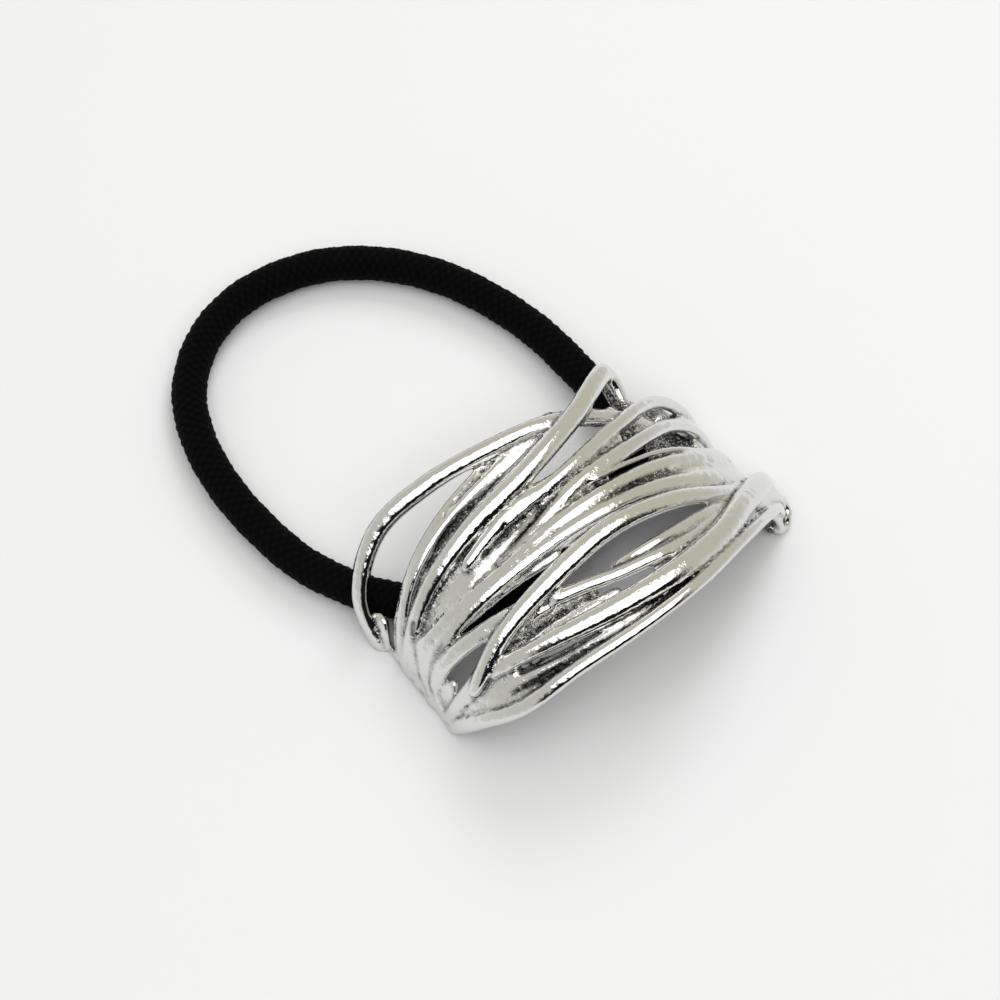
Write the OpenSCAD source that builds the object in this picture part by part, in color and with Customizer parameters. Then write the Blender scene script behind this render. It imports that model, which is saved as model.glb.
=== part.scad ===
// Metal cuff hair tie: an arched openwork cuff cast in one piece from interlaced strands,
// with a round elastic loop held under the arch. All sizes are in millimetres.
// X runs from foot to foot, Y from the front edge to the rear, Z up from the surface.

/* [Cuff] */
// Length of the arch from foot to foot
cuff_l = 57; // [54:0.5:60]
// Height of the arch above the surface
cuff_h = 19; // [18:0.5:21]
// Depth of the cuff across its middle
cuff_w = 36; // [34:0.5:38]
// Diameter of a strand of full thickness
strand_d = 2.6; // [2.4:0.1:2.8]
// Height of a strand's section as a part of its width
strand_flat = 0.85; // [0.75:0.05:1]
// Thickness of the thin webs between strands
web_t = 1.2; // [1:0.1:1.4]

/* [Elastic] */
// Diameter of the covered elastic
elastic_d = 5; // [4.5:0.1:5.2]

/* [Inner loops] */
// Wire diameter of the two loops that hold the elastic
loop_d = 1.3; // [1.2:0.1:1.5]
// Free space between the elastic and a loop
loop_gap = 0.4; // [0.3:0.1:0.6]

/* [Hidden] */

// The strands' centres lie on a half ellipse of these half axes, plus each strand's own lift.
crown = 0.1;
arch_a = cuff_l / 2 - strand_d / 2;
arch_h = cuff_h - strand_d / 2 - crown;
// The tables are drawn for a cuff of this depth and for strands of this diameter.
table_w = 36;
table_d = 2.6;
// Moves the middle of the cuff's outline to the origin
middle = [-0.6, -2, 0];
// Sides of a strand's section, degrees of arch between two sections, and the fewest steps
strand_sides = 8;
strand_step = 8;
min_steps = 4;
// Part of a strand's length over which its direction is measured
near = 0.01;
// Strands that end this far round the arch, or farther, run down into a foot.
foot_angle = 84;
// Size of the last section of a strand's free end, as a part of the full section
tip_scale = 0.5;
elastic_sides = 16;
// Rings of the elastic's surface from one point of its route to the next
route_steps = 2;
// Surfaces that a line of sight can cross in one tube, for the preview
tube_folds = 4;
// Length of the bevelled corners of an inner loop, and how far its ends sink into the arch
loop_corner = 1;
loop_sink = strand_d / 4;

// Columns of the strand and web tables. Angles are round the arch, 0 at the top and negative
// towards the left foot. The other columns list values at even steps from end to end.
NAME = 0;
FROM = 1;
TO = 2;
ACROSS = 3;
LIFT = 4;
WIDTH = 5;

STRANDS = [
    // name, from, to, across, lift, width
    ["rear rim", -92, 56, [9, 14.7, 18.8, 18.9, 17.6, 15.9, 12.5, 8.8], [1, 1.8, 0.9, 0.3, 0, -0.3, -1.2, -2.4],
        [2.6, 3, 2.6, 2.6]],
    ["outer thin", -92, -9, [5.4, 7.8, 10.3, 12.8, 14.9, 16.2], [0, 0.1, -0.9], [1.2, 1, 1.5, 1.2]],
    ["inner thin", -84, 6, [5.2, 8, 10.9, 13, 14.5, 15.8], [0.1, 0.1, -0.9], [2, 1.6, 1.5]],
    ["peak", -92, 40, [3.6, 5, 7.6, 9.7, 11.2, 14.4, 18.9], [0, 0.8, 1.1], [2.4, 2.6, 3, 3]],
    ["peak return", 35, 47, [18.1, 18.8, 17.5, 13.7], [1, 0.9, -0.1, -2.2], [3.2, 2.6, 2.4]],
    ["under return", 39, 48, [18.3, 17.4, 14.4], [-0.8, -1.8, -3.4], [1.6]],
    ["hair line", -50, -6, [7, 8, 9, 9.5], [-0.2, 0], [1.3]],
    ["stub", -35, 4, [6, 7, 8, 8.5, 8.5], [0.8, 0.6, 0], [1.8]],
    ["rear top", -34, 92, [5.6, 7.3, 8.5, 10.5, 12.2, 10.8, 8.8], [0.2, 0.5, 0], [0.9, 2.2, 2.1, 2.1]],
    ["broad", -36, 92, [3.1, 4, 5.9, 6.8, 7.7, 6.3, 4.2], [0, 0.4, -0.3], [1, 2.3, 2.2, 1.5]],
    ["middle rear", -92, 92, [2.8, 2.9, 2.6, 2.3, 2.9, 2.7, 1.9, 0.9, 1.2], [0, 0.1, -0.7],
        [2.4, 1.9, 2.2, 3, 3.4]],
    ["middle", -92, 92, [0.7, 0.9, 1.2, 1.2, 1, 0.1, -1.6, -2.7, -2.6], [0, 0.1, -0.8],
        [2.4, 2.3, 2.2, 2.5, 2.4]],
    ["under middle", -60, -10, [1.4, 0.6, 0.2, -0.6], [-0.6], [1.4]],
    ["crossing", -60, 92, [-7.3, -4.7, -3.2, -2.2, -3.3, -5.2, -4.3, -3], [1, 1, -1], [2.2, 3, 2.6, 2.6]],
    ["crossing foot", -92, -24, [-5.7, -6.1, -6.3, -4.8, -3.2], [0, 0.2, 0], [2, 2.8]],
    ["left hook", -92, -28, [-2.2, -1.3, -1.3, -2.2, -3.5], [0, 0], [2.4, 2.6, 2.6]],
    ["inner front", -2, 70, [-6.5, -7, -6.6, -5.6], [-0.3, 0, -1.2], [1.2, 1.9, 1.6]],
    ["branch", -21, 70, [-5.4, -8.2, -9.1, -6.8, -5], [0.2, 0.2, -1.2], [2, 2, 1.6]],
    ["front", -52, 92, [-7, -9.2, -11.4, -12.3, -11, -7.8, -5.3, -3.4], [0.3, 0.8, 2], [2.2, 3.3, 3.6, 4]],
    ["front lower", -58, 92, [-8.5, -10.8, -13, -13.8, -12.7, -9.2, -7.4, -7], [-1.5, -1.5, -0.8, 0.6, 2.2],
        [1.6, 1.8, 2.2, 3.4]],
    ["front rim", -92, 80, [-6.6, -9.8, -13.6, -14.8, -15.7, -15.2, -13, -10.7, -9], [0, 0.5, 1.5],
        [2.4, 2.2, 1.8, 1.6]],
];

WEBS = [
    // name, from, to, across, lift, width
    ["left foot", -92, -62, [1.2, 2, 2.6], [0.15], [15.5, 8.5, 4]],
    ["rear rim foot", -92, -76, [10, 10.4, 10.6], [0.4], [5.4, 5, 4]],
    ["teardrop end", -88, -68, [-3.6, -3.7, -3.7], [-0.4], [6, 5, 2]],
    ["thin groove", -80, 16, [6, 8.9, 11.3, 13.3, 15, 16.6], [-1, -1, -0.8], [2, 2.5, 3]],
    ["left rear", -66, -4, [4, 5, 5.6, 6, 6.2], [-0.5, -0.5, -0.9], [3.5, 5, 3, 2]],
    ["left front", -84, -30, [-7.5, -9.5, -11, -12.5], [-0.4], [3, 4, 3, 2]],
    ["crossing flank", -50, -10, [-6.2, -5.6, -6.2, -7.1], [-1], [2.8, 3.6, 3.2]],
    ["under branch", -52, -4, [-7.6, -8.1, -8.8, -9.4], [-1.5], [2.2, 2.6, 2.4]],
    ["broad groove", -22, 16, [3.3, 4, 4.8], [-0.7], [1.6]],
    ["rear slot start", -6, 28, [6.4, 7.8, 9], [-0.2], [1.5, 2]],
    ["rear slot floor", 26, 70, [9.4, 10, 9], [-2.2, -2.2, -1.2], [2.5, 4]],
    ["rear slot end", 61, 92, [9, 8.4, 7], [-0.6, -0.2, -0.2], [2, 4, 5]],
    ["right fan", -16, 92, [1.4, 1, 0.4, -0.8, -1], [-0.7, -0.5, 0.1, 0.1], [3, 6, 7, 8]],
    ["right rear", 42, 92, [6.6, 5, 4, 3], [-2.4], [4, 6, 10]],
    ["right rear foot", 68, 92, [3.3, 3, 3], [-1.3], [10, 13, 12]],
    ["right front foot", 58, 92, [-8, -7, -6.4], [1, 1.2, 1.4], [6, 7, 7]],
    ["branch end", 8, 44, [-10.5, -9.8, -8.3, -6], [-0.6], [2]],
    ["right front toe", 70, 92, [-9.3, -9.8, -10.2], [0.2], [2.4]],
    ["front groove", -40, 60, [-12.6, -14, -14.2, -12, -9], [-0.6], [2.5]],
];

// The thin strand that curls round a small hole at the front of the right foot
RIGHT_HOOK = [
    [29.2, -7.4, 3.6], [30, -8, 2.2], [29.9, -9.4, 1.2], [28.8, -10.6, 0.7], [27.2, -10.8, 0.7], [25.8, -9.6, 1.2],
];
hook_d = 1.1;

// Value of a list at t, from 0 at its first entry to 1 at its last, on a smooth curve
function at(list, t) =
    let (last = len(list) - 1)
    last == 0 ? list[0] :
    let (s = min(max(t, 0), 1) * last, i = min(floor(s), last - 1), f = s - i)
    let (a = list[max(i - 1, 0)], b = list[i], c = list[i + 1], d = list[min(i + 2, last)])
    b + f * (c - a) / 2 + f^2 * (a - 2.5 * b + 2 * c - d / 2) + f^3 * (1.5 * (b - c) + (d - a) / 2);

// Centre of a strand or web at t, with its angle and its lift off the half ellipse
function angle(row, t) = row[FROM] + (row[TO] - row[FROM]) * t;

function centre(row, t) =
    let (u = angle(row, t), lift = at(row[LIFT], t))
    [(arch_a + lift) * sin(u), at(row[ACROSS], t) * cuff_w / table_w, (arch_h + lift) * cos(u)];

function unit(v) = v / norm(v);

// A free end, one that stops short of the feet, narrows to a rounded tip.
function tip(row, t, step) =
    t < step / 2 && abs(row[FROM]) < foot_angle ? tip_scale :
    t > 1 - step / 2 && abs(row[TO]) < foot_angle ? tip_scale : 1;

function section(row, t, step, width, height) =
    let (u = angle(row, t), size = tip(row, t, step))
    let (ahead = centre(row, t + near) - centre(row, t - near), out = [sin(u) / arch_a, 0, cos(u) / arch_h])
    let (side = unit(cross(ahead, out)), up = unit(cross(side, ahead)), mid = centre(row, t))
    [for (k = [0 : strand_sides - 1]) let (a = 360 * (k + 0.5) / strand_sides)
        mid + side * cos(a) * width / 2 * size + up * sin(a) * height / 2 * size];

// Faces of a tube of rings of points, closed by its ends or into a ring
function tube_faces(rings, sides, ends) = concat(
    [for (i = [0 : rings - (ends ? 2 : 1)], k = [0 : sides - 1])
        let (j = (i + 1) % rings, n = (k + 1) % sides)
        [i * sides + k, i * sides + n, j * sides + n, j * sides + k]],
    ends ? [[for (k = [sides - 1 : -1 : 0]) k]] : [],
    ends ? [[for (k = [0 : sides - 1]) (rings - 1) * sides + k]] : []);

module strand(row, height) {
    steps = max(ceil((row[TO] - row[FROM]) / strand_step), min_steps);
    scale_d = strand_d / table_d;
    rings = [for (i = [0 : steps]) let (t = i / steps, w = at(row[WIDTH], t) * scale_d)
        section(row, t, 1 / steps, w, height > 0 ? height : w * strand_flat)];
    polyhedron([for (r = rings) each r], tube_faces(steps + 1, strand_sides, true), tube_folds);
}

// The elastic's centre line, from the left inner loop round the back to the right one
// and under the arch again: x, y, and how far it is raised off the surface
loop_lift = loop_d + loop_gap;
ROUTE = [
    [-20, 6, loop_lift], [-22.9, 11.9, 0.2], [-26.7, 17.1, 0.05], [-30.3, 24.6, 0], [-32, 33.1, 0],
    [-32.4, 41.5, 0], [-31.2, 49.9, 0], [-27.9, 57.4, 0], [-21.7, 63.1, 0], [-14.3, 65.7, 0],
    [-6.7, 65.4, 0], [0.6, 62.9, 0], [7.4, 57.9, 0], [12.9, 50.9, 0], [16.5, 43, 0], [18.7, 34.6, 0],
    [19.4, 26, 0.1], [19.5, 18.5, 0.6], [17.8, 11.8, loop_lift], [12.5, 7.4, 0.8], [5, 5.3, 0.2],
    [-4, 4, 0.1], [-12, 3.6, 0.7],
];
LEFT_HOLD = 0;
RIGHT_HOLD = 18;

function route_point(i) = ROUTE[(i + len(ROUTE)) % len(ROUTE)] + [0, 0, elastic_d / 2];

// Point of the smooth curve through the route's points, between point i and the next at part f
function route_at(i, f) = at([for (k = [-1 : 2]) route_point(i + k)], (1 + f) / 3);

function route_ahead(i) = unit(route_point(i + 1) - route_point(i - 1));

// Ring of the elastic's surface at part f of the way from route point i to the next
function elastic_ring(i, f) =
    let (ahead = unit(route_at(i, f + near) - route_at(i, f - near)), side = unit(cross(ahead, [0, 0, 1])))
    let (up = cross(side, ahead))
    [for (k = [0 : elastic_sides - 1]) let (a = 360 * k / elastic_sides)
        route_at(i, f) + (side * cos(a) + up * sin(a)) * elastic_d / 2];

// Height of an inner loop's end inside the strands
function arch_z(x) = arch_h * sqrt(1 - (x / arch_a)^2) - loop_sink;

// A round wire along a short list of points
module wire(path, d) {
    for (k = [1 : len(path) - 1]) hull() {
        translate(path[k - 1]) sphere(d = d, $fn = strand_sides);
        translate(path[k]) sphere(d = d, $fn = strand_sides);
    }
}

// One inner loop: a wire staple that hangs from the arch and passes under the elastic
module inner_loop(i) {
    reach = elastic_d / 2 + loop_gap + loop_d / 2;
    ahead = route_ahead(i);
    side = unit(cross(ahead, [0, 0, 1]));
    foot = [ROUTE[i][0], ROUTE[i][1], loop_d / 2];
    left = foot - side * reach;
    right = foot + side * reach;
    path = [
        [left[0], left[1], arch_z(left[0])], left + [0, 0, loop_corner], left + side * loop_corner,
        right - side * loop_corner, right + [0, 0, loop_corner], [right[0], right[1], arch_z(right[0])],
    ];
    wire(path, loop_d);
}

module cuff() {
    color("silver") translate(middle) difference() {
        union() {
            for (row = STRANDS) strand(row, 0);
            for (row = WEBS) strand(row, web_t);
            wire(RIGHT_HOOK, hook_d);
            inner_loop(LEFT_HOLD);
            inner_loop(RIGHT_HOLD);
        }
        translate([-cuff_l, -cuff_l, -cuff_l]) cube([2 * cuff_l, 2 * cuff_l, cuff_l]);
    }
}

module elastic_loop() {
    color("black") translate(middle) polyhedron(
        [for (i = [0 : len(ROUTE) - 1], f = [0 : 1 / route_steps : 1 - near]) each elastic_ring(i, f)],
        tube_faces(len(ROUTE) * route_steps, elastic_sides, false), tube_folds);
}

cuff();
elastic_loop();
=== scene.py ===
"""Metal cuff hair tie: an openwork casting of interlaced strands, and the covered elastic it holds.

Lengths are in millimetres up to the meshes, as in the part's source, and MM turns them into the
frame's metres. Those of the materials, lights and camera are in metres.
"""

import math

import bmesh
import bpy
import numpy as np
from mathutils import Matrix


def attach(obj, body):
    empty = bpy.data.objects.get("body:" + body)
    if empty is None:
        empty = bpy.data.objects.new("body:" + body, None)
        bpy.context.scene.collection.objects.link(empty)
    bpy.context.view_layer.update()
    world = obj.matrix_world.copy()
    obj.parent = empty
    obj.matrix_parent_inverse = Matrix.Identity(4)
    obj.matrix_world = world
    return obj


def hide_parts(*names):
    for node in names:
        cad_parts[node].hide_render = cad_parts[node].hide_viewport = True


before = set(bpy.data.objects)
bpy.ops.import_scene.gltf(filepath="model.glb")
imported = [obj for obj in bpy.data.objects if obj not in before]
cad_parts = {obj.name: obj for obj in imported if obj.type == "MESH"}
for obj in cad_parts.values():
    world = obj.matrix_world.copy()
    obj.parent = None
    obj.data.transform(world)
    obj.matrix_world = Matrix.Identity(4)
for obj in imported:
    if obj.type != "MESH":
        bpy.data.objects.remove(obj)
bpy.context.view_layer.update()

import openvdb
from mathutils import Matrix, Vector

MM = 0.001

# Cuff: the strands' centres lie on a half ellipse of these half axes, plus each strand's own lift.
ARCH_A = 27.2
ARCH_H = 17.6
STRAND_FLAT = 0.85  # height of a strand's section as a part of its width
WEB_T = 1.2  # thickness of the webs between strands
MIDDLE = np.array([-0.6, -2.0, 0])  # moves the middle of the cuff's outline to the origin
FOOT_ANGLE = 84  # strands that reach this angle run down into a foot
TIP_SCALE = 0.5  # size of a strand's free end, as a part of the full section

# Angles are round the arch in degrees, 0 at the top and negative towards the left foot. The next
# three columns list values at even steps from end to end.
STRANDS = [
    # name, from, to, across, lift, width
    ("rear rim", -92, 56, [9, 14.7, 18.8, 18.9, 17.6, 15.9, 12.5, 8.8],
     [1, 1.8, 0.9, 0.3, 0, -0.3, -1.2, -2.4], [2.6, 3, 2.6, 2.6]),
    ("outer thin", -92, -9, [5.4, 7.8, 10.3, 12.8, 14.9, 16.2], [0, 0.1, -0.9], [1.2, 1, 1.5, 1.2]),
    ("inner thin", -84, 6, [5.2, 8, 10.9, 13, 14.5, 15.8], [0.1, 0.1, -0.9], [2, 1.6, 1.5]),
    ("peak", -92, 40, [3.6, 5, 7.6, 9.7, 11.2, 14.4, 18.9], [0, 0.8, 1.1], [2.4, 2.6, 3, 3]),
    ("peak return", 35, 47, [18.1, 18.8, 17.5, 13.7], [1, 0.9, -0.1, -2.2], [3.2, 2.6, 2.4]),
    ("under return", 39, 48, [18.3, 17.4, 14.4], [-0.8, -1.8, -3.4], [1.6]),
    ("hair line", -50, -6, [7, 8, 9, 9.5], [-0.2, 0], [1.3]),
    ("stub", -35, 4, [6, 7, 8, 8.5, 8.5], [0.8, 0.6, 0], [1.8]),
    ("rear top", -34, 92, [5.6, 7.3, 8.5, 10.5, 12.2, 10.8, 8.8], [0.2, 0.5, 0], [0.9, 2.2, 2.1, 2.1]),
    ("broad", -36, 92, [3.1, 4, 5.9, 6.8, 7.7, 6.3, 4.2], [-0.5, 0.4, -0.3], [1.2, 2.3, 2.2, 1.5]),
    ("slot edge", 10, 58, [4.9, 4.7, 4.3, 3.4, 2], [0.7, 0.7, 0.3], [0.8, 0.9, 0.9, 0.8]),
    ("middle rear", -92, 92, [2.8, 2.9, 2.6, 2.3, 2.9, 2.7, 1.9, 0.9, 1.2], [0, 0.1, -0.7],
     [2.4, 1.9, 2.2, 3, 3.4]),
    ("middle", -92, 92, [0.7, 0.9, 1.2, 1.2, 1, 0.1, -1.6, -2.7, -2.6], [0, 0.1, -0.8],
     [2.4, 2.3, 2.2, 2.5, 2.4]),
    ("under middle", -60, -10, [1.4, 0.6, 0.2, -0.6], [-0.6], [1.4]),
    ("crossing", -60, 92, [-7.3, -4.7, -3.2, -2.2, -3.3, -5.2, -4.3, -3], [1, 1, -1], [2.2, 3, 2.6, 2.6]),
    ("crossing foot", -92, -24, [-5.7, -6.1, -6.3, -4.8, -3.2], [0, 0.2, 0], [2, 2.8]),
    ("left hook", -92, -28, [-2.2, -1.3, -1.3, -2.2, -3.5], [0, 0], [2.4, 2.6, 2.6]),
    ("inner front", -2, 70, [-6.5, -7, -6.6, -5.6], [-0.3, 0, -1.2], [1.2, 1.9, 1.6]),
    ("branch", -21, 70, [-5.4, -8.2, -9.1, -6.8, -5], [0.2, 0.2, -1.2], [2, 2, 1.6]),
    ("front", -52, 92, [-7, -9.2, -11.4, -12.3, -11, -7.8, -5.3, -3.4], [0.3, 0.8, 2], [2.2, 3.3, 3.6, 4]),
    ("front lower", -58, 92, [-8.5, -10.8, -13, -13.8, -12.7, -9.2, -7.4, -7], [-1.5, -1.5, -0.8, 0.6, 2.2],
     [1.6, 1.8, 2.2, 3.4]),
    ("front rim", -92, 80, [-6.6, -9.8, -13.6, -14.8, -15.7, -15.2, -13, -10.7, -9], [0, 0.5, 1.5],
     [2.4, 2.2, 1.8, 1.6]),
]
WEBS = [
    # name, from, to, across, lift, width, and for some how far they lean to the front in degrees
    ("left foot", -92, -62, [1.2, 2, 2.6], [0.15], [15.5, 8.5, 4]),
    ("rear rim foot", -92, -76, [10, 10.4, 10.6], [0.4], [5.4, 5, 4]),
    ("teardrop end", -88, -68, [-3.6, -3.7, -3.7], [-0.4], [6, 5, 2]),
    ("thin groove", -80, 16, [6, 8.9, 11.3, 13.3, 15, 16.6], [-1, -1, -0.8], [2, 2.5, 3]),
    ("left rear", -66, -4, [4, 5, 5.6, 6, 6.2], [-0.5, -0.5, -0.9], [3.5, 5, 3, 2], -12),
    ("left front", -84, -30, [-7.5, -9.5, -11, -12.5], [-0.4], [3, 4, 3, 2]),
    ("crossing flank", -50, -10, [-6.2, -5.6, -6.2, -7.1], [-1.5], [2.8, 3.8, 3.4], 58),
    ("under branch", -52, -4, [-7.6, -8.1, -8.8, -9.4], [-1.5], [2.2, 2.6, 2.4]),
    ("broad groove", -22, 16, [3.3, 4, 4.8], [-0.7], [1.6]),
    ("rear slot start", -6, 28, [6.4, 7.8, 9], [-0.2], [1.5, 2]),
    ("rear slot floor", 26, 70, [9.6, 11.5, 10.9], [-2.4, -2.4, -1.8], [3, 6.9, 6.4], -10),
    ("rear slot end", 61, 92, [9, 8.4, 7], [-0.6, -0.2, -0.2], [2, 4, 5]),
    ("right fan", -16, 92, [1.4, 1, 0.4, -0.8, -1], [-0.8, -1, 0.1, 0.1], [3, 6, 7, 8]),
    ("right rear", 42, 92, [6.6, 5.3, 4, 3], [-2.4], [4.6, 7, 10]),
    ("right rear foot", 68, 92, [3.3, 3, 3], [-1.3], [10, 13, 12]),
    ("right front foot", 58, 92, [-8, -7, -6.4], [1, 1.2, 1.4], [6, 7, 7]),
    ("branch end", 8, 44, [-10.5, -9.8, -8.3, -6], [-0.6], [2]),
    ("front root", -68, -44, [-7.8, -8.2, -8.6], [-0.5], [2.4, 3]),
    ("right front toe", 70, 92, [-9.3, -9.8, -10.2], [0.2], [2.4]),
    ("front groove", -40, 60, [-12.6, -14, -14.2, -12, -9], [-0.6], [2.5]),
]
# Narrow slits cut between strands, with painted shade in them and just beside them
SLITS = [
    # name, from, to, across, lift, width
    ("rear slit", 11, 44, [4.1, 4.1, 3.9, 3.4, 2.9], [0.5], [0.4, 0.5, 0.4, 0.3]),
    ("middle slit", 9, 33, [1.8, 1.6, 1.4, 1.2], [0.6], [0.4, 0.6, 0.5, 0.2]),
    ("front slit", -50, 28, [-11.1, -12.5, -13.5, -14.6, -14.8, -14.2, -13.1], [-0.2, 0],
     [0.5, 1, 0.8, 0.8, 1.1, 0.4]),
    ("thin slit", -46, -8, [9.7, 11.3, 12.1, 12.5, 13.4], [-0.2], [0.5, 1.1, 1.2, 0.9, 0.5]),
    ("stub slit", -29, -5, [5.7, 6.1, 6.6], [0.3], [0.5, 0.9, 0.6]),
    ("broad slit", -27, 0, [3.8, 4.9, 6.1], [0.5], [0.3, 0.7, 0.4]),
    ("rear foot slit", -83, -60, [-1.4, 1, 2.7, 4.4, 5.8], [1.2], [0.1, 0.2]),
    ("front foot slit", -80, -57, [-2.7, -1, -0.1, 0.3, 0.5], [1.2], [0.1, 0.2]),
]

# The wires: the hook at the right foot, and the two inner loops that hold the elastic
RIGHT_HOOK = [
    [29.2, -7.4, 3.6], [30, -8, 2.2], [29.9, -9.4, 1.2], [28.8, -10.6, 0.7], [27.2, -10.8, 0.7],
    [25.8, -9.6, 1.2],
]
HOOK_D = 1.1
LOOP_D = 1.3
LOOP_GAP = 0.4  # free space between the elastic and a loop
LOOP_CORNER = 1  # length of a loop's bevelled corners
LOOP_SINK = 0.65  # how far a loop's ends sink into the arch
WIRE_OUT = [0.31, 0.17, 0.93]  # a direction that no part of a wire runs along

# Elastic: its centre line from the left inner loop round the back to the right one and under the
# arch again: x, y, and how far it is raised off the surface
ELASTIC_D = 5
LOOP_LIFT = LOOP_D + LOOP_GAP
ROUTE = [
    [-20, 6, LOOP_LIFT], [-22.9, 11.9, 0.2], [-26.7, 17.1, 0.05], [-30.3, 24.6, 0], [-32, 33.1, 0],
    [-32.4, 41.5, 0], [-31.2, 49.9, 0], [-27.9, 57.4, 0], [-21.7, 63.1, 0], [-14.3, 65.7, 0],
    [-6.7, 65.4, 0], [0.6, 62.9, 0], [7.4, 57.9, 0], [12.9, 50.9, 0], [16.5, 43, 0], [18.7, 34.6, 0],
    [19.4, 26, 0.1], [19.5, 18.5, 0.6], [17.8, 11.8, LOOP_LIFT], [12.5, 7.4, 0.8], [5, 5.3, 0.2],
    [-4, 4, 0.1], [-12, 3.6, 0.7],
]
# The points of the route where the inner loops hold it
LEFT_HOLD = 0
RIGHT_HOLD = 18

# The casting is meshed from its distance field on a grid of this pitch.
VOXEL = 0.31
REACH = 1.2  # the field is kept up to this far from a surface
FILLET = 0.35  # reach of the fillets where strands meet
MARGIN = 2  # space that the grid leaves round the strands' centres
BELOW = 0.5  # how far the grid goes on below the surface at which the casting is cut level
STRAND_PITCH = 0.2  # length of the straight pieces that a strand is measured by
SPARE_STEPS = 8  # more such pieces than the arch's length asks for
TINY = 1e-6


def unit(v):
    """Vectors of length 1 in the directions of v's last axis."""
    return v / np.linalg.norm(v, axis=-1, keepdims=True)


def curve(a, b, c, d, f):
    """The smooth curve through a, b, c and d, at the part f of the way from b to c."""
    bend = f**2 * (a - 2.5 * b + 2 * c - d / 2) + f**3 * (1.5 * (b - c) + (d - a) / 2)
    return b + f * (c - a) / 2 + bend


def at(values, t):
    """Values of a list at t, from 0 at its first entry to 1 at its last, on a smooth curve."""
    p = np.asarray(values, float)
    last = len(p) - 1
    if last == 0:
        return np.full(len(t), p[0])
    s = np.clip(t, 0, 1) * last
    i = np.minimum(s.astype(int), last - 1)
    f = s - i
    return curve(p[np.maximum(i - 1, 0)], p[i], p[i + 1], p[np.minimum(i + 2, last)], f)


# ---- the casting's strands, as centre lines with sections ----

def strand(row, height=None):
    """One strand, or one web if it has a height: the frames and half sizes of its sections."""
    _, start, stop, across, lift, width, *lean = row
    count = int(math.radians(stop - start) * ARCH_A / STRAND_PITCH) + SPARE_STEPS
    t = np.linspace(0, 1, count)
    u = np.radians(start + (stop - start) * t)
    rise = at(lift, t)
    mid = np.stack([(ARCH_A + rise) * np.sin(u), at(across, t), (ARCH_H + rise) * np.cos(u)], 1)
    out = np.stack([np.sin(u) / ARCH_A, 0 * u, np.cos(u) / ARCH_H], 1)
    half = at(width, t) / 2
    length = np.linalg.norm(np.diff(mid, axis=0), axis=1).sum()
    for free, away in ((abs(start) < FOOT_ANGLE, t), (abs(stop) < FOOT_ANGLE, 1 - t)):
        if free:
            taper = np.clip(away * length / (2 * np.max(half)), 0, 1)
            half = half * (TIP_SCALE + (1 - TIP_SCALE) * np.sqrt(1 - (1 - taper) ** 2))
    if height is None:
        return sections(mid, out, half, half * STRAND_FLAT)
    half_h = np.minimum(half, height / 2)
    mid, side, up, half_w, half_h, flat = sections(mid, out, half_h, half_h, half - half_h)
    c, s = math.cos(math.radians(sum(lean))), math.sin(math.radians(sum(lean)))
    return mid, side * c - up * s, up * c + side * s, half_w, half_h, flat


def sections(mid, out, half_w, half_h, flat=None):
    """A tube's sections from its centres and a direction that is roughly up. Each is an ellipse,
    with a flat part of this half width in its middle if it is a web's."""
    ahead = unit(np.gradient(mid, axis=0))
    side = unit(np.cross(ahead, out))
    return mid, side, np.cross(side, ahead), half_w, half_h, 0 * half_w if flat is None else flat


def wire(path, d):
    """A round wire along a short list of points."""
    path = np.array(path, float)
    steps = [max(int(np.linalg.norm(b - a) / STRAND_PITCH), 1) for a, b in zip(path, path[1:])]
    runs = [np.linspace(a, b, n, endpoint=False) for a, b, n in zip(path, path[1:], steps)]
    mid = np.concatenate(runs + [path[-1:]])
    out = np.tile(WIRE_OUT, (len(mid), 1))
    half = np.full(len(mid), d / 2)
    return sections(mid, out, half, half)


def inner_loop(i):
    """One inner loop: a wire staple that hangs from the arch and passes under the elastic."""
    reach = ELASTIC_D / 2 + LOOP_GAP + LOOP_D / 2
    before, here, after = (np.array(ROUTE[k % len(ROUTE)]) for k in (i - 1, i, i + 1))
    side = unit(np.cross(after - before, [0, 0, 1]))
    foot = np.array([here[0], here[1], LOOP_D / 2])
    left, right, corner = foot - side * reach, foot + side * reach, np.array([0, 0, LOOP_CORNER])

    def arch_end(p):
        return [p[0], p[1], ARCH_H * math.sqrt(1 - (p[0] / ARCH_A) ** 2) - LOOP_SINK]

    return wire([arch_end(left), left + corner, left + side * LOOP_CORNER,
                 right - side * LOOP_CORNER, right + corner, arch_end(right)], LOOP_D)


# ---- the casting's surface ----

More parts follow.
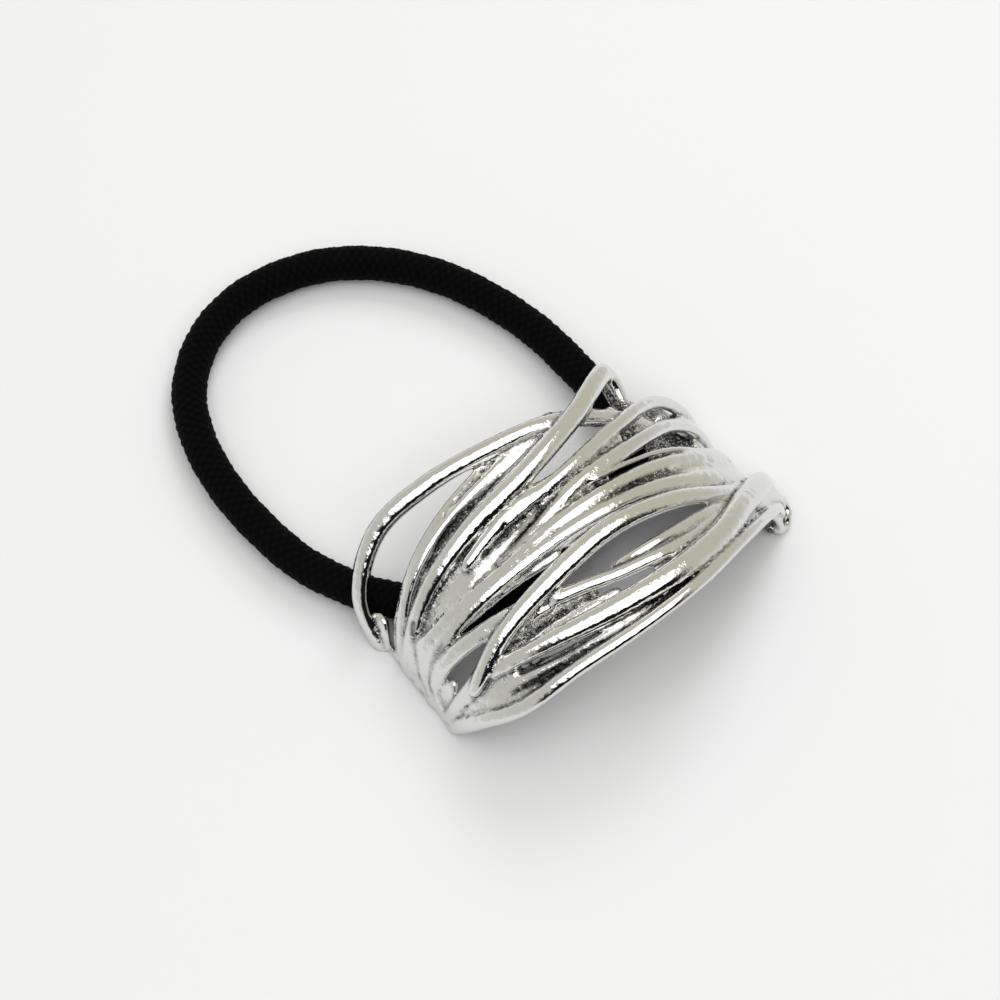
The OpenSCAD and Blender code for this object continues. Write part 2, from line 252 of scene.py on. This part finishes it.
def lower_to(field, axes, tube):
    """Lowers field to the distance from one tube, wherever that is within REACH."""
    mid, side, up, half_w, half_h, flat = tube
    for k in range(len(mid) - 1):
        a, b = mid[k], mid[k + 1]
        r = max(half_w[k] + flat[k], half_w[k + 1] + flat[k + 1]) + REACH
        span = []
        for n, axis in enumerate(axes):
            first = max(int((min(a[n], b[n]) - r - axis[0]) / VOXEL), 0)
            last = min(int((max(a[n], b[n]) + r - axis[0]) / VOXEL) + 2, len(axis))
            span.append(slice(first, last))
        p = np.stack(np.meshgrid(*(axis[s] for axis, s in zip(axes, span)), indexing="ij"), -1) - a
        d = b - a
        s = np.clip(p @ d / (d @ d), 0, 1)
        q = p - s[..., None] * d
        w = half_w[k] + s * (half_w[k + 1] - half_w[k])
        h = half_h[k] + s * (half_h[k + 1] - half_h[k])
        x, y, z = q @ side[k], q @ up[k], q @ unit(d)
        x = np.maximum(np.abs(x) - flat[k], 0)
        size = np.sqrt((x / w) ** 2 + (y / h) ** 2 + (z / h) ** 2)
        slope = np.sqrt((x / w**2) ** 2 + (y / h**2) ** 2 + (z / h**2) ** 2)
        part = field[tuple(span)]
        np.minimum(part, size * (size - 1) / np.maximum(slope, TINY), out=part)


def soften(values):
    """A grid's values, each averaged a little with its neighbours."""
    for n in range(3):
        values = (np.roll(values, 1, n) + 2 * values + np.roll(values, -1, n)) / 4
    return values


def grain(shape):
    """Smoothed random values with a spread of 1."""
    noise = np.random.default_rng(GRAIN_SEED).standard_normal(shape).astype(np.float32)
    noise = soften(noise)
    return noise / noise.std()


def cast_field(tubes):
    """The casting's distance field and the grid's axes."""
    low = [min(t[0][:, n].min() for t in tubes) - MARGIN for n in range(3)]
    high = [max(t[0][:, n].max() for t in tubes) + MARGIN for n in range(3)]
    low[2] = -BELOW
    axes = [np.arange(a - REACH, b + REACH + VOXEL, VOXEL) for a, b in zip(low, high)]
    shape = tuple(len(a) for a in axes)
    field = np.full(shape, REACH)
    for tube in tubes:
        own = np.full(shape, REACH)
        lower_to(own, axes, tube)
        here = own < REACH
        a, b = field[here], own[here]
        blend = np.maximum(FILLET - np.abs(a - b), 0)
        field[here] = np.minimum(a, b) - blend**2 / FILLET / 4
    return field, axes


GRAIN = 0.08  # height of the rough texture in the grooves
GRAIN_SEED = 7
UNDER = 1.2  # the space under the arch counts as a groove, and so takes the tarnish and painted shade, from this far below the strands' centres
FOOT_ROUND = 0.9  # how much the feet draw in towards the surface, and from what height
FOOT_ROUND_H = 0.5
GROOVE_REACH = 0.8  # size of the neighbourhood that tells a groove from a crown
GROOVE_START = 0.56  # metal's share of the neighbourhood where a groove begins, and where it is full
GROOVE_FULL = 0.7
CREASE_START = 1.3  # hollow curvature, per mm, where the painted shade along the creases begins, and where it is full
CREASE_FULL = 2.3
SLIT_EDGE = 0.26  # length over which the painted shade in a slit fades
SLIT_DARK = 1.5  # how far beside a slit it ends, in such lengths
STEEP_MIN = 0.1  # least square of the field's slope that a step to its surface reckons with


def groove_depth(field, axes):
    """0 on crowns and flat places, rising to 1 in the grooves between strands and under the arch. It places
    the cast grain, the rough finish, and the tarnish with the painted shade.
    """
    x, z = axes[0][:, None, None], axes[2][None, None, :]
    under = (x / (ARCH_A - UNDER)) ** 2 + (z / (ARCH_H - UNDER)) ** 2 < 1
    share = np.where(under, 1, np.clip(0.5 - field / VOXEL, 0, 1))
    steps = max(round(GROOVE_REACH / VOXEL), 1)
    for _ in range(steps):
        for n in range(3):
            share = (np.roll(share, 1, n) + share + np.roll(share, -1, n)) / 3
    return np.clip((share - GROOVE_START) / (GROOVE_FULL - GROOVE_START), 0, 1)


def crease_shade_depth(field):
    """0 on smooth places, rising to 1 along the sharp lines where strands meet: the painted shade along the
    creases.
    """
    bend = sum(np.roll(field, 1, n) - 2 * field + np.roll(field, -1, n) for n in range(3))
    return np.clip((-bend / VOXEL**2 - CREASE_START) / (CREASE_FULL - CREASE_START), 0, 1)


def sample(values, axes, points):
    """Values of a grid at points, by linear interpolation."""
    i, f = [], []
    for n, axis in enumerate(axes):
        s = np.clip((points[:, n] - axis[0]) / VOXEL, 0, len(axis) - 1 - TINY)
        i.append(s.astype(int))
        f.append(s - i[-1])
    total = 0
    for corner in np.ndindex(2, 2, 2):
        weight = np.prod([f[n] if corner[n] else 1 - f[n] for n in range(3)], axis=0)
        total = total + weight * values[i[0] + corner[0], i[1] + corner[1], i[2] + corner[2]]
    return total


def keep_largest(bm):
    """Deletes every connected part but the largest: small voids and specks that the slits leave."""
    left = set(bm.verts)
    parts = []
    while left:
        part = [left.pop()]
        for vert in part:
            near = {edge.other_vert(vert) for edge in vert.link_edges} & left
            left -= near
            part.extend(near)
        parts.append(part)
    parts.remove(max(parts, key=len))
    bmesh.ops.delete(bm, geom=[vert for part in parts for vert in part], context="VERTS")


def cut_level(mesh):
    """Cuts a mesh level at the surface that it stands on, closes it there and keeps one part."""
    bm = bmesh.new()
    bm.from_mesh(mesh)
    if bm.calc_volume(signed=True) < 0:
        bmesh.ops.reverse_faces(bm, faces=bm.faces)
    bmesh.ops.bisect_plane(bm, geom=bm.verts[:] + bm.edges[:] + bm.faces[:], plane_co=(0, 0, 0),
                           plane_no=(0, 0, 1), clear_inner=True)
    bmesh.ops.holes_fill(bm, edges=[e for e in bm.edges if e.is_boundary])
    keep_largest(bm)
    bmesh.ops.recalc_face_normals(bm, faces=bm.faces)
    bm.to_mesh(mesh)
    bm.free()


def set_values(mesh, name, values):
    """Gives a mesh's vertices an attribute that its material reads."""
    mesh.attributes.new(name, "FLOAT", "POINT").data.foreach_set("value", values)


def set_normals(mesh, normals):
    """Gives a mesh's vertices these normals, except on the faces that it stands on."""
    mesh.shade_smooth()
    corner = np.empty(len(mesh.loops), int)
    mesh.loops.foreach_get("vertex_index", corner)
    loops = normals[corner]
    for face in mesh.polygons:
        if abs(face.center.z) < TINY:
            loops[face.loop_indices] = (0, 0, -1)
    mesh.normals_split_custom_set(loops.tolist())


def cast_mesh(name, tubes):
    """The casting as one mesh, with its normals, its groove attribute and the attribute that places painted
    shade along its creases.
    """
    field, axes = cast_field(tubes)
    groove = groove_depth(field, axes)
    # Painted shade along the sharp lines where strands meet
    crease_shade = crease_shade_depth(field)
    # The slits are cut into the casting, and painted shade is laid in them and just beside them
    for row in SLITS:
        cut = np.full(field.shape, REACH)
        lower_to(cut, axes, strand(row))
        field = np.maximum(field, -cut)
        crease_shade = np.maximum(crease_shade, np.clip(SLIT_DARK - cut / SLIT_EDGE, 0, 1))
    drawn_in = FOOT_ROUND * np.clip(FOOT_ROUND_H - axes[2], 0, 1) ** 2
    field = soften(field) + GRAIN * groove * grain(field.shape) + drawn_in
    grid = openvdb.FloatGrid(REACH)
    grid.copyFromArray(field.astype(np.float32))
    grid.transform = openvdb.createLinearTransform(voxelSize=VOXEL)
    points, quads = grid.convertToQuads()
    points = points + np.array([a[0] for a in axes])
    slopes = np.gradient(field, VOXEL)
    for _ in range(2):  # Newton's steps, which bring the mesh close to the field's surface
        slope = np.stack([sample(g, axes, points) for g in slopes], 1)
        steep = np.maximum((slope**2).sum(1, keepdims=True), STEEP_MIN)
        step = sample(field, axes, points)[:, None] / steep
        points = points - np.clip(step, -VOXEL / 2, VOXEL / 2) * slope

    mesh = bpy.data.meshes.new(name)
    mesh.from_pydata((points + MIDDLE) * MM, [], quads)
    cut_level(mesh)
    places = np.empty(len(mesh.vertices) * 3)
    mesh.vertices.foreach_get("co", places)
    places = places.reshape(-1, 3) / MM - MIDDLE
    set_values(mesh, "groove", sample(groove, axes, places))
    set_values(mesh, "crease_shade", sample(crease_shade, axes, places))
    set_normals(mesh, unit(np.stack([sample(g, axes, places) for g in slopes], 1)))
    return mesh


# ---- the elastic ----

YARNS = 8  # yarns that run each way round the cover
YARN_RISE = 0.2  # height of a yarn's crown over the valleys
YARN_FIBRES = 5  # twisted threads across one yarn
LAY = 10.4  # length in which a yarn goes once round
FUZZ = 0.12  # how far the crowns stand out over the elastic's nominal size
FULLNESS = 0.7  # powers of the sines that a yarn's section and its crown along it follow
CROWN_FULLNESS = 0.5
SWELL = 0.03  # the cover's unevenness, in waves of which so many go round the loop
SWELL_WAVES = (31, 83)
RINGS_PER_MM = 4
SIDES = 96
ROUTE_STEPS = 40  # pieces from one point of the route to the next, by which its length is measured


def route_line():
    """The elastic's centre line as a closed smooth curve with even steps, and its length, in mm."""
    p = np.array(ROUTE) + [0, 0, ELASTIC_D / 2]
    n = len(p)
    s = np.linspace(0, n, ROUTE_STEPS * n, endpoint=False)
    i, f = s.astype(int), (s % 1)[:, None]
    fine = curve(p[(i - 1) % n], p[i], p[(i + 1) % n], p[(i + 2) % n], f)
    closed = np.vstack([fine, fine[:1]])
    run = np.concatenate([[0], np.cumsum(np.linalg.norm(np.diff(closed, axis=0), axis=1))])
    steps = np.linspace(0, run[-1], int(run[-1] * RINGS_PER_MM), endpoint=False)
    return np.stack([np.interp(steps, run, closed[:, k]) for k in range(3)], 1), run[-1]


def braid(along, around):
    """Height of the braided cover, 0 in its valleys and 1 on its crowns, and the place across the
    yarn on top, which repeats with its threads; around is in turns."""
    one = YARNS * (around + along / LAY)
    two = YARNS * (around - along / LAY)
    over = (np.floor(one) + np.floor(two)) % 2
    bulge = [np.sin(np.pi * (s % 1)) ** FULLNESS for s in (one, two)]
    crown = [np.sin(np.pi * (s % 1)) ** CROWN_FULLNESS for s in (two, one)]
    height = np.where(over == 0, bulge[0] * crown[0], bulge[1] * crown[1])
    return height, np.where(over == 0, one, two) * YARN_FIBRES


def elastic_mesh(name):
    """The covered elastic as one closed tube with the relief of its braid."""
    mid, length = route_line()
    count = len(mid)
    ahead = unit(np.roll(mid, -1, 0) - np.roll(mid, 1, 0))
    side = unit(np.cross(ahead, [0, 0, 1]))
    up = np.cross(side, ahead)
    along = (np.arange(count) * length / count)[:, None]
    around = (np.arange(SIDES) / SIDES)[None, :]
    laid = round(length / LAY * YARNS) / YARNS * LAY  # whole yarns, so that the braid closes
    height, threads = braid(along * laid / length, around)
    swell = SWELL * sum(np.sin(2 * np.pi * n * along / length) for n in SWELL_WAVES)
    radius = ELASTIC_D / 2 + FUZZ + swell - YARN_RISE * (1 - height)
    turn = 2 * np.pi * around[..., None]
    outward = np.cos(turn) * side[:, None, :] + np.sin(turn) * up[:, None, :]
    points = mid[:, None, :] + radius[..., None] * outward
    ring, spoke = np.meshgrid(np.arange(count), np.arange(SIDES), indexing="ij")
    here, following, beside = ring * SIDES, (ring + 1) % count * SIDES, (spoke + 1) % SIDES
    faces = np.stack([here + spoke, following + spoke, following + beside, here + beside], -1)
    mesh = bpy.data.meshes.new(name)
    mesh.from_pydata((points.reshape(-1, 3) + MIDDLE) * MM, [], faces.reshape(-1, 4))
    set_values(mesh, "yarn", height.ravel())
    set_values(mesh, "thread", np.cos(2 * np.pi * threads).ravel())
    mesh.shade_smooth()
    return mesh, mid, length


# ---- materials ----

PLATING = (0.74, 0.74, 0.725, 1)
# Dark speckled tarnish in the grooves, and also the painted shade there, under the arch and in the creases
# and slits
TARNISH_AND_SHADE = (0.05, 0.05, 0.045, 1)
# The cover's black: painted shade in the yarns' valleys, the plain black on their crowns
YARN_VALLEY_SHADE = (0.0006, 0.0006, 0.0007, 1)
YARN_CROWN = (0.004, 0.0042, 0.0045, 1)
FLOOR_TONE = (0.745, 0.752, 0.786, 1)
# Scales of the noise textures, in waves to the metre
SPECKS = 2400.0
PITS = 2600.0
WAVES = 350.0
FIBRES = 3500.0
# Heights and strengths of the bumps
PIT_H = 0.0005
WAVE_H = 0.0001
WAVE_STRENGTH = 0.1
FIBRE_H = 0.00005
FIBRE_STRENGTH = 0.5
# Where the tarnish and painted shade start and where they are full: by the specks' noise, and by the groove
# attribute
SPECK_DARK = (0.36, 0.56)
LINE_UNBROKEN = (0.66, 0.56)
GROOVE_DARK = (0.15, 0.8)
# Roughness, least and most
CAST_ROUGH = (0.05, 0.16)
COVER_ROUGH = (0.75, 0.95)
# Sockets of the mix node when it mixes colours
MIX_A = 6
MIX_B = 7
MIXED = 2


def new_material(name):
    """A material with its nodes and its shader."""
    material = bpy.data.materials.new(name)
    material.use_nodes = True
    return material, material.node_tree, material.node_tree.nodes["Principled BSDF"]


def add(tree, kind, inputs=(), **settings):
    """A new node, with its settings and its inputs: values, or sockets to link from."""
    made = tree.nodes.new(kind)
    for key, value in settings.items():
        setattr(made, key, value)
    for key, value in dict(inputs).items():
        if isinstance(value, bpy.types.NodeSocket):
            tree.links.new(value, made.inputs[key])
        else:
            made.inputs[key].default_value = value
    return made


def attribute(tree, name):
    return add(tree, "ShaderNodeAttribute", attribute_name=name).outputs["Fac"]


def noise(tree, scale, detail):
    """A noise texture that stays with the piece."""
    place = add(tree, "ShaderNodeTexCoord").outputs["Object"]
    made = add(tree, "ShaderNodeTexNoise", {"Vector": place, "Scale": scale, "Detail": detail})
    return made.outputs["Fac"]


def ramp(tree, value, low, high, to=(0, 1), kind="LINEAR"):
    """A value from low to high, turned into one from 0 to 1 or between the values of to."""
    ends = {"Value": value, "From Min": low, "From Max": high, "To Min": to[0], "To Max": to[1]}
    return add(tree, "ShaderNodeMapRange", ends, interpolation_type=kind).outputs["Result"]


def combine(tree, operation, a, b):
    return add(tree, "ShaderNodeMath", {0: a, 1: b}, operation=operation).outputs[0]


def mix(tree, part, a, b):
    """The colour a where part is 0, and b where it is 1."""
    return add(tree, "ShaderNodeMix", {0: part, MIX_A: a, MIX_B: b}, data_type="RGBA").outputs[MIXED]


def bump(tree, strength, distance, height, **normal):
    ends = {"Strength": strength, "Distance": distance, "Height": height, **normal}
    return add(tree, "ShaderNodeBump", ends).outputs["Normal"]


def set_shader(tree, shader, **values):
    """Sets or links the shader's inputs, with _ for each space in their names."""
    for key, value in values.items():
        key = key.replace("_", " ")
        if isinstance(value, bpy.types.NodeSocket):
            tree.links.new(value, shader.inputs[key])
        else:
            shader.inputs[key].default_value = value


def chrome():
    """Polished plating, with speckled dark tarnish and painted shade in the grooves and under the arch, and
    broken lines of painted shade in the creases and slits.
    """
    material, tree, shader = new_material("cuff_chrome")
    groove = attribute(tree, "groove")
    specks = noise(tree, SPECKS, 3.0)
    # Speckled tarnish with painted shade in the grooves and under the arch
    dark = combine(tree, "MULTIPLY", ramp(tree, specks, *SPECK_DARK), ramp(tree, groove, *GROOVE_DARK))
    # Broken lines of painted shade along the creases and in the slits
    line = combine(tree, "MULTIPLY", attribute(tree, "crease_shade"), ramp(tree, specks, *LINE_UNBROKEN))
    shade = combine(tree, "MAXIMUM", dark, line)
    pits = bump(tree, groove, PIT_H, noise(tree, PITS, 2.0))
    waves = bump(tree, WAVE_STRENGTH, WAVE_H, noise(tree, WAVES, 1.0), Normal=pits)
    set_shader(tree, shader, Metallic=1, Base_Color=mix(tree, shade, PLATING, TARNISH_AND_SHADE),
               Roughness=ramp(tree, groove, 0, 1, CAST_ROUGH), Normal=waves)
    return material


def black_cover():
    """Matt black yarns, with painted shade in the valleys between them and a random tone from the fibres'
    noise.
    """
    material, tree, shader = new_material("elastic_cover_black")
    fuzz = noise(tree, FIBRES, 3.0)
    # Painted shade by the braid's height, times the fibres' random tone
    shade = combine(tree, "MULTIPLY", attribute(tree, "yarn"), fuzz)
    threads = bump(tree, FIBRE_STRENGTH, FIBRE_H, attribute(tree, "thread"))
    set_shader(tree, shader, Base_Color=mix(tree, shade, YARN_VALLEY_SHADE, YARN_CROWN),
               Roughness=ramp(tree, fuzz, 0, 1, COVER_ROUGH), Specular_IOR_Level=0.05,
               Sheen_Weight=0.02, Sheen_Roughness=0.4,
               Normal=bump(tree, FIBRE_STRENGTH, FIBRE_H, fuzz, Normal=threads))
    return material


def pale_floor():
    """A matt white with a trace of blue."""
    material, tree, shader = new_material("floor_pale")
    set_shader(tree, shader, Base_Color=FLOOR_TONE, Roughness=0.7)
    return material


# ---- the pieces ----

def piece(name, mesh, material, slot, *nodes):
    """One piece of the visual model, in place of the frame's nodes."""
    made = bpy.data.objects.new(name, mesh)
    bpy.context.scene.collection.objects.link(made)
    mesh.materials.append(material)
    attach(made, "root")
    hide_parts(*nodes)
    return made


tubes = [strand(row) for row in STRANDS] + [strand(row, WEB_T) for row in WEBS]
tubes += [wire(RIGHT_HOOK, HOOK_D), inner_loop(LEFT_HOLD), inner_loop(RIGHT_HOLD)]
piece("cuff_casting", cast_mesh("cuff_casting", tubes), chrome(), "cuff_metal", "cuff")

cover_mesh, line, elastic_length = elastic_mesh("elastic_cover")
elastic = piece("elastic_cover", cover_mesh, black_cover(), "elastic_cover", "elastic_loop")


# ---- floor, light and camera ----

FLOOR_R = 1.2


def make_floor():
    bpy.ops.mesh.primitive_circle_add(vertices=96, radius=FLOOR_R, fill_type="NGON")
    floor = bpy.context.object
    floor.name = "floor"
    floor.data.materials.append(pale_floor())


# The soft box overhead. It spans these stretches in X and Y, in parts of its height.
BOX_HEIGHT = 0.7
BOX_X = (-0.8, 0.55)
BOX_Y = (-1.05, 0.35)
BOX_POWER = 3.85
# The fill from behind on the right, which the metal doesn't mirror
FILL_FROM = Vector((0.55, 0.4, 0.6))
FILL_SIZE = 0.4
FILL_POWER = 3.0


def make_lamp(name, place, size, power):
    """An area light that shines down, and that the camera doesn't see."""
    light = bpy.data.lights.new(name, "AREA")
    light.shape = "RECTANGLE"
    light.size, light.size_y = size
    light.energy = power
    lamp = bpy.data.objects.new(name, light)
    lamp.location = place
    lamp.visible_camera = False
    bpy.context.scene.collection.objects.link(lamp)
    return lamp


def make_lights():
    centre = Vector((sum(BOX_X) / 2, sum(BOX_Y) / 2, 1)) * BOX_HEIGHT
    make_lamp("soft_box", centre, [(b - a) * BOX_HEIGHT for a, b in (BOX_X, BOX_Y)], BOX_POWER)
    fill = make_lamp("fill", FILL_FROM, (FILL_SIZE, FILL_SIZE), FILL_POWER)
    fill.rotation_euler = FILL_FROM.to_track_quat("Z", "Y").to_euler()
    fill.visible_glossy = False


# The room that the metal mirrors, by direction: X, Y and rise are those of a vector of length 1.
# Each pair says where a tone starts and where it is full.
WALL_LEFT = (0.62, 0.62, 0.57, 1)
WALL_RIGHT = (0.62, 0.6, 0.51, 1)
WALL_X = (-0.5, 0.3)
HAZE = (0.74, 0.74, 0.71, 1)
HAZE_RISE = (0.45, 0)
BACKDROP = (0.85, 0.85, 0.84, 1)
# The dark gap in front, below the soft box, that the metal mirrors as its black lines
GAP = (0.01, 0.01, 0.01, 1)
GAP_BOTTOM = (0.03, 0.1)
GAP_TOP = (0.74, 0.67)
GAP_FRONT = (-0.1, -0.35)
GAP_LEFT = (-0.8, -0.6)
GAP_RIGHT = (0.62, 0.42)


def make_world():
    world = bpy.data.worlds.new("studio")
    bpy.context.scene.world = world
    world.use_nodes = True
    tree = world.node_tree
    place = add(tree, "ShaderNodeTexCoord").outputs["Generated"]
    x, y, rise = add(tree, "ShaderNodeSeparateXYZ", {0: place}).outputs

    def fade(value, ends):
        return ramp(tree, value, *ends, kind="SMOOTHSTEP")

    gap = fade(rise, GAP_BOTTOM)
    for value, ends in ((rise, GAP_TOP), (y, GAP_FRONT), (x, GAP_LEFT), (x, GAP_RIGHT)):
        gap = combine(tree, "MULTIPLY", gap, fade(value, ends))
    walls = mix(tree, fade(x, WALL_X), WALL_LEFT, WALL_RIGHT)
    room = mix(tree, gap, mix(tree, fade(rise, HAZE_RISE), walls, HAZE), GAP)
    seen = mix(tree, add(tree, "ShaderNodeLightPath").outputs["Is Camera Ray"], room, BACKDROP)
    tree.links.new(seen, tree.nodes["Background"].inputs["Color"])


# The camera stands where the photograph's did, round the arch's middle, above it and away from it.
AZIMUTH = math.radians(-36.8)
ELEVATION = math.radians(64)
DISTANCE = 0.330
FRAME_PX = 1000  # width of the picture
FOCAL_PX = 2343  # focal length, in pixels of the picture
ASIDE_PX = 82  # how far the arch's middle lies right of, and below, the picture's middle
SENSOR = 36
CLIP_START = 0.01


def make_camera():
    camera = bpy.data.cameras.new("camera")
    camera.sensor_width = SENSOR
    camera.lens = FOCAL_PX / FRAME_PX * SENSOR
    camera.clip_start = CLIP_START
    made = bpy.data.objects.new("camera", camera)
    bpy.context.scene.collection.objects.link(made)
    ca, sa = math.cos(AZIMUTH), math.sin(AZIMUTH)
    ce, se = math.cos(ELEVATION), math.sin(ELEVATION)
    right = Vector((ca, sa, 0))
    up = Vector((-sa * se, ca * se, ce))
    back = Vector((sa * ce, -ca * ce, se))
    aside = ASIDE_PX / FOCAL_PX * DISTANCE
    made.location = Vector(MIDDLE * MM) + back * DISTANCE - right * aside + up * aside
    made.rotation_mode = "QUATERNION"
    made.rotation_quaternion = Matrix((right, up, back)).transposed().to_quaternion()
    bpy.context.scene.camera = made


make_floor()
make_lights()
make_world()
make_camera()
bpy.context.scene.view_settings.view_transform = "Standard"
